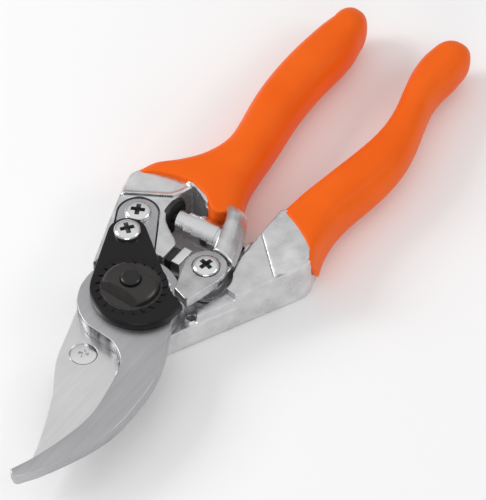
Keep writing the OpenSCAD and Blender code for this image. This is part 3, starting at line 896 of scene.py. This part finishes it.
def darken_recesses(piece, heads, radius):
    """Paints the walls and floors of the cross recesses with near-black metal, painted shade for their
    dark inside.
    """
    piece.data.materials.append(recess_painted_shade)
    for face in piece.data.polygons:
        spot = face.center / MM
        for x, y, top in heads:
            inside = (Vector((spot[0], spot[1])) - Vector((x, y))).length < radius
            below = top - 3 < spot[2] < top - 0.12
            wall_or_floor = face.normal[2] < 0.75 or spot[2] < top - 0.8
            if inside and below and wall_or_floor:
                face.material_index = 1


# The cross recesses of the three pan heads get the painted shade.
darken_recesses(screws, [(x, y, z + 1.9) for x, y, z in seats], 2.75)

# %% Flush blade screw and the stud beside the hook
flush_profile = [
    (0, 2), (2.1, 2), (2.1, BLADE_TOP - 1.95), (3.95, BLADE_TOP - 0.2), (3.9, BLADE_TOP - 0.08),
    (3.6, BLADE_TOP + 0.02), (0, BLADE_TOP + 0.04)]
flush = lathe("blade_screw_head", flush_profile, BLADE_SCREW, 72)
cut(flush, *cross_recess(BLADE_SCREW, BLADE_TOP, 0.7, 20, 0.8))
smooth_shade(flush, 30)
finish_piece(flush, screw_steel, "blade_side", ["blade_screw"])

stud_profile = [
    (0, 5), (1.3, 5), (1.3, FLOOR_TOP), (2.2, FLOOR_TOP), (2.25, FLOOR_TOP + 0.6),
    (1.9, FLOOR_TOP + 1.0), (1.1, FLOOR_TOP + 1.18), (0, FLOOR_TOP + 1.2)]
stud = lathe("catch_pin", stud_profile, STUD, 48)
finish_piece(stud, screw_steel, "blade_side", ["catch_stud"])

# %% [markdown]
# ## Locking plate and adjusting nut
# Both are black coated. The plate is flat with a rolled edge, and it holds the nut against turning.
# A ring of short ticks around the nut marks its steps. The ticks and the washer's teeth repeat round a
# circle, so one tree with a count, a radius and a tooth size makes both.

# %% Ring tree
ring_tree = geometry_tree("Teeth round a circle", [
    ("Count", "NodeSocketInt", 20), ("Radius", "NodeSocketFloat", 0.01),
    ("Tooth", "NodeSocketVector", (0.001,) * 3), ("Lean", "NodeSocketFloat", 0.0),
    ("Height", "NodeSocketFloat", 0.0), ("Finish", "NodeSocketMaterial", None)])
entry = tree_node(ring_tree, "NodeGroupInput")
circle = tree_node(ring_tree, "GeometryNodeCurvePrimitiveCircle")
points = tree_node(ring_tree, "GeometryNodeCurveToPoints", mode="EVALUATED")
tooth = tree_node(ring_tree, "GeometryNodeMeshCube")
place = tree_node(ring_tree, "GeometryNodeInstanceOnPoints")
where = tree_node(ring_tree, "GeometryNodeInputPosition")
apart = tree_node(ring_tree, "ShaderNodeSeparateXYZ")
angle = tree_node(ring_tree, "ShaderNodeMath", operation="ARCTAN2")
lean = tree_node(ring_tree, "ShaderNodeMath", operation="ADD")
turn = tree_node(ring_tree, "ShaderNodeCombineXYZ")
lift = tree_node(ring_tree, "GeometryNodeTransform")
up = tree_node(ring_tree, "ShaderNodeCombineXYZ")
links = ring_tree.links
links.new(entry.outputs["Count"], circle.inputs["Resolution"])
links.new(entry.outputs["Radius"], circle.inputs["Radius"])
links.new(circle.outputs[0], points.inputs[0])
links.new(entry.outputs["Tooth"], tooth.inputs["Size"])
links.new(points.outputs["Points"], place.inputs["Points"])
links.new(tooth.outputs[0], place.inputs["Instance"])
links.new(where.outputs[0], apart.inputs[0])
links.new(apart.outputs["Y"], angle.inputs[0])
links.new(apart.outputs["X"], angle.inputs[1])
links.new(angle.outputs[0], lean.inputs[0])
links.new(entry.outputs["Lean"], lean.inputs[1])
links.new(lean.outputs[0], turn.inputs["Z"])
links.new(turn.outputs[0], place.inputs["Rotation"])
links.new(place.outputs[0], lift.inputs["Geometry"])
links.new(entry.outputs["Height"], up.inputs["Z"])
links.new(up.outputs[0], lift.inputs["Translation"])
close_tree(ring_tree, lift.outputs[0], entry)

# %% Locking plate
SKIRT = 11.2
lock_outline = (
    arc(6, 52, 202, 30, PLATE_SCREW) + arc(14.65, 202, 350, 70, (1.8, 1.5))
    + [(16.5, 3.1), (13.6, 4.0), (10.6, 5.6)])
lock_plate = plate("black_plate", lock_outline, PLATE_LOW, PLATE_TOP, 0.55)
cut(lock_plate, rod("skirt_hole", SKIRT + 0.04, (0, 0, 0), (0, 0, 30), 128))
smooth_shade(lock_plate)
finish_piece(lock_plate, black_coat, "hook_side", ["lock_plate"])

# %% Adjusting nut
z = PLATE_TOP
nut_profile = [
    (0, PLATE_LOW + 1), (SKIRT, PLATE_LOW + 1), (SKIRT, z - 0.01), (9.3, z), (8.9, z + 0.12),
    (8.68, z + 0.4), (8.6, z + 1.1), (8.4, z + 1.8), (7.8, z + 2.4), (6.7, z + 2.85), (5.0, z + 3.2),
    (3.7, z + 3.38), (3.3, z + 3.42), (3.1, z + 3.2), (3.05, z + 2.8), (0, z + 2.8)]
nut = lathe("domed_nut", nut_profile)
flats = []
for side in (267.0, 87.0):
    a = math.radians(side)
    out, across = Vector((math.cos(a), math.sin(a))), Vector((-math.sin(a), math.cos(a)))
    rows = [(6.3, 0.3), (14, 0.3), (14, 8), (0.9, 8)]
    verts = [(*(out * r + across * side_way), z + up) for side_way in (-12, 12) for r, up in rows]
    flats.append(eight_corners("flat", verts))
cut(nut, *flats)
broken = nut.modifiers.new("broken edges", "BEVEL")
broken.width = 0.22 * MM
broken.segments = 3
broken.limit_method = "ANGLE"
broken.angle_limit = math.radians(28)
apply_modifiers(nut)
smooth_shade(nut, 40)
finish_piece(nut, black_coat, "hook_side", ["adjusting_nut"])
nut.data.materials.append(nut_coat)
for face in nut.data.polygons:
    if face.center[2] > (PLATE_TOP + 0.05) * MM:
        face.material_index = 1

ticks = grown("nut_ticks", ring_tree, {
    "Count": 21, "Radius": 10.1 * MM, "Tooth": (1.5 * MM, 0.5 * MM, 0.7 * MM), "Lean": 0.5,
    "Height": PLATE_TOP * MM, "Finish": black_coat})
finish_piece(ticks, black_coat, "hook_side", [])

# %% Serrated washer
washer_rim, washer_bore = arc(11.5, 0, 357, 119), arc(4.05, 0, 354, 59)
washer = plate("washer_disc", washer_rim, PLATE_LOW + 0.05, PLATE_LOW + 0.75, 0.12, [washer_bore])
teeth = grown("washer_teeth", ring_tree, {
    "Count": 30, "Radius": 11.4 * MM, "Tooth": (1.4 * MM, 0.9 * MM, 0.62 * MM), "Lean": 0.5,
    "Height": (PLATE_LOW + 0.42) * MM, "Finish": screw_steel})
washer = joined("serrated_washer", [washer, teeth])
smooth_shade(washer, 30)
finish_piece(washer, screw_steel, "hook_side", ["lock_washer"])

# %% [markdown]
# ## Catch, stop bar and buffer
# The catch is a flat cast lever with a deep counterbore for its screw. The stop bar is a ground block
# on a rubber buffer, and the lower handle closes against it.

# %% Catch lever
lever_outline = (
    smooth([(11.2, 6.4), (16.6, 4.6), (17.3, 5.0), (18.9, 11.0), (20.3, 16.6)], 4)
    + arc(6.4, -14, 190, 40, CATCH_SCREW) + smooth([(7.8, 16.4), (9.6, 11.2), (11.2, 6.4)], 4)[:-1])
screw_hole = arc(2.24, 0, 352, 44, CATCH_SCREW)
lever = plate("catch_arm", lever_outline, CATCH_LOW, CATCH_TOP, 0.4, [screw_hole])
cut(lever, rod("counterbore", 4.42, (*CATCH_SCREW, CATCH_TOP - 0.95), (*CATCH_SCREW, 40), 72))
smooth_shade(lever)
# The lever gets the darker copy of the cast alloy: painted shade.
finish_piece(lever, lever_painted_shade, "catch", ["catch_lever"])

# %% Stop bar and buffer


def rectangle(x_low, y_low, x_high, y_high):
    """The four corners of an upright rectangle."""
    return [(x_low, y_low), (x_high, y_low), (x_high, y_high), (x_low, y_high)]


bar_low, bar_high = (Vector(corner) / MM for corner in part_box("stop_bar"))
bar_outline = rectangle(bar_low[0], bar_low[1], bar_high[0], bar_high[1])
bar = plate("steel_bar", bar_outline, bar_low[2], bar_high[2], 0.5)
finish_piece(bar, screw_steel, "hook_side", ["stop_bar"])

buf_low, buf_high = (Vector(corner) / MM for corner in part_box("stop_buffer"))
BUFFER_BACK = -0.5
buffer_outline = rectangle(BUFFER_BACK, buf_low[1], buf_high[0], buf_high[1])
rubber = plate("rubber_pad", buffer_outline, buf_low[2], buf_high[2], 0.4)
finish_piece(rubber, buffer_rubber, "hook_side", ["stop_buffer"])

# %% [markdown]
# ## Volute spring
# A volute spring is a steel strip rolled into a cone, so that each turn slides inside the next. This
# one is two cones back to back. A tree lays points along a line, moves them onto a winding whose
# radius swells in the middle, and sweeps a flat strip along it. The spring stretches between the handles
# when they open; it is attached to neither body.

# %% Volute tree
volute = geometry_tree("Volute strip", [
    ("Turns", "NodeSocketFloat", 9.0), ("Length", "NodeSocketFloat", 0.02),
    ("Small radius", "NodeSocketFloat", 0.003),
    ("Swell", "NodeSocketFloat", 0.002), ("Strip width", "NodeSocketFloat", 0.003),
    ("Strip thickness", "NodeSocketFloat", 0.0004), ("Finish", "NodeSocketMaterial", None)])
entry = tree_node(volute, "NodeGroupInput")
links = volute.links


def sum_node(operation, a, b):
    """A math node in the volute tree with sockets or numbers on its two inputs."""
    node = tree_node(volute, "ShaderNodeMath", operation=operation)
    for socket, value in zip(node.inputs, (a, b)):
        if isinstance(value, (int, float)):
            socket.default_value = value
        elif value is not None:
            links.new(value, socket)
    return node.outputs[0]


line = tree_node(volute, "GeometryNodeCurvePrimitiveLine")
finer = tree_node(volute, "GeometryNodeResampleCurve")
finer.inputs["Count"].default_value = 420
along = tree_node(volute, "GeometryNodeSplineParameter")
factor = along.outputs["Factor"]
wave = sum_node("SINE", sum_node("MULTIPLY", factor, math.pi), None)
swollen = sum_node("MULTIPLY", wave, entry.outputs["Swell"])
radius = sum_node("ADD", entry.outputs["Small radius"], swollen)
swing = sum_node("MULTIPLY", factor, sum_node("MULTIPLY", entry.outputs["Turns"], 2 * math.pi))
spot = tree_node(volute, "ShaderNodeCombineXYZ")
links.new(sum_node("MULTIPLY", radius, sum_node("COSINE", swing, None)), spot.inputs["X"])
links.new(sum_node("MULTIPLY", radius, sum_node("SINE", swing, None)), spot.inputs["Y"])
links.new(sum_node("MULTIPLY", factor, entry.outputs["Length"]), spot.inputs["Z"])
move = tree_node(volute, "GeometryNodeSetPosition")
upright = tree_node(volute, "GeometryNodeSetCurveNormal")
upright.mode = "Z_UP"
strip = tree_node(volute, "GeometryNodeCurvePrimitiveQuadrilateral")
sweep = tree_node(volute, "GeometryNodeCurveToMesh")
sweep.inputs["Fill Caps"].default_value = True
links.new(line.outputs[0], finer.inputs["Curve"])
links.new(finer.outputs[0], move.inputs["Geometry"])
links.new(spot.outputs[0], move.inputs["Position"])
links.new(move.outputs[0], upright.inputs["Curve"])
links.new(upright.outputs[0], sweep.inputs["Curve"])
links.new(entry.outputs["Strip thickness"], strip.inputs["Width"])
links.new(entry.outputs["Strip width"], strip.inputs["Height"])
links.new(strip.outputs[0], sweep.inputs["Profile Curve"])
close_tree(volute, sweep.outputs[0], entry)

# %% Spring in place
spring_low, spring_high = (Vector(corner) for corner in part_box("return_spring"))
strip_width = 3.9 * MM
spring = grown("volute_spring", volute, {
    "Turns": 6.5, "Length": spring_high[0] - spring_low[0] - strip_width,
    "Small radius": 2.6 * MM, "Swell": 2.1 * MM,
    "Strip width": strip_width, "Strip thickness": 0.5 * MM, "Finish": spring_steel})
spring.data.transform(Matrix.Rotation(math.radians(90), 4, "Y"))
spring_start = Vector((spring_low[0] + strip_width / 2, SPRING_Y * MM, SPRING_Z * MM))
spring.data.transform(Matrix.Translation(spring_start))
tidy(spring.data, 1e-7)
smooth_shade(spring, 30)
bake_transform(spring)
finish_piece(spring, spring_steel, None, ["return_spring"])

# %% [markdown]
# ## Sub-parts that stay as they are
# The bolt, the bushing, the spring's seat and peg and the thin washer already have their real shape,
# so they only get their finish.

# %% Finishes for the other sub-parts
for node, finish in {"pivot_bolt": bolt_black, "pivot_bushing": bronze, "spring_seat": buffer_rubber,
                     "spring_peg": bolt_black, "catch_washer": screw_steel}.items():
    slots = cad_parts[node].material_slots
    for entry_slot in slots:
        entry_slot.material = finish
    print(node, "has", len(slots), "slot(s)")

# %% [markdown]
# ## Stage
# A pale floor, a bright soft sky and three large lights give the even studio look that a catalogue
# uses. The camera is long and looks down over the jaws from the right.

# %% Floor and sky
FLOOR_HALF, FLOOR_Z = 3000, -0.05
floor_corners = rectangle(-FLOOR_HALF, -FLOOR_HALF, FLOOR_HALF, FLOOR_HALF)
floor = new_piece("floor", [(x, y, FLOOR_Z) for x, y in floor_corners], [(0, 1, 2, 3)])
floor.data.materials.append(material("floor_white", (0.94, 0.94, 0.94), 0.9))
world = bpy.data.worlds.new("sky")
bpy.context.scene.world = world
world.use_nodes = True
sky = world.node_tree
sky.nodes["Background"].inputs["Strength"].default_value = 0.8
direction = sky.nodes.new("ShaderNodeTexCoord")
height = sky.nodes.new("ShaderNodeSeparateXYZ")
dome = sky.nodes.new("ShaderNodeValToRGB")
dome.color_ramp.elements[0].position = 0.1
dome.color_ramp.elements[0].color = (0.3, 0.3, 0.31, 1)
dome.color_ramp.elements[1].position = 0.85
dome.color_ramp.elements[1].color = (1, 1, 1, 1)
sky.links.new(direction.outputs["Generated"], height.inputs[0])
sky.links.new(height.outputs["Z"], dome.inputs["Fac"])
sky.links.new(dome.outputs["Color"], sky.nodes["Background"].inputs["Color"])

# %% Lights


def softbox(name, place, aim, size, watts):
    data = bpy.data.lights.new(name, "AREA")
    data.shape = "RECTANGLE"
    data.size, data.size_y = size
    data.energy = watts
    lamp = bpy.data.objects.new(name, data)
    lamp.location = place
    lamp.rotation_euler = (Vector(aim) - Vector(place)).to_track_quat("-Z", "Y").to_euler()
    bpy.context.scene.collection.objects.link(lamp)
    return lamp


centre = (cad_low + cad_high) / 2
softbox("key", (-0.65, -0.2, 0.45), centre, (0.35, 0.35), 3.0)
softbox("fill", (0.55, 0.35, 0.45), centre, (0.4, 0.2), 0.8)
softbox("front", (0.45, -0.65, 0.25), centre, (0.5, 0.2), 1.4)
bpy.context.scene.view_settings.view_transform = "Standard"

# %% Camera
azimuth, elevation = math.radians(35.0), math.radians(48.5)
level = math.cos(elevation)
back = Vector((math.sin(azimuth) * level, -math.cos(azimuth) * level, math.sin(elevation)))
aim = Vector((19.8, 29.5, 19.3)) * MM
camera = bpy.data.objects.new("camera", bpy.data.cameras.new("camera"))
camera.data.lens = 241.6
camera.data.clip_start = 0.05
camera.location = aim + back * 1.0
camera.rotation_euler = (-back).to_track_quat("-Z", "Y").to_euler()
bpy.context.scene.collection.objects.link(camera)
bpy.context.scene.camera = camera
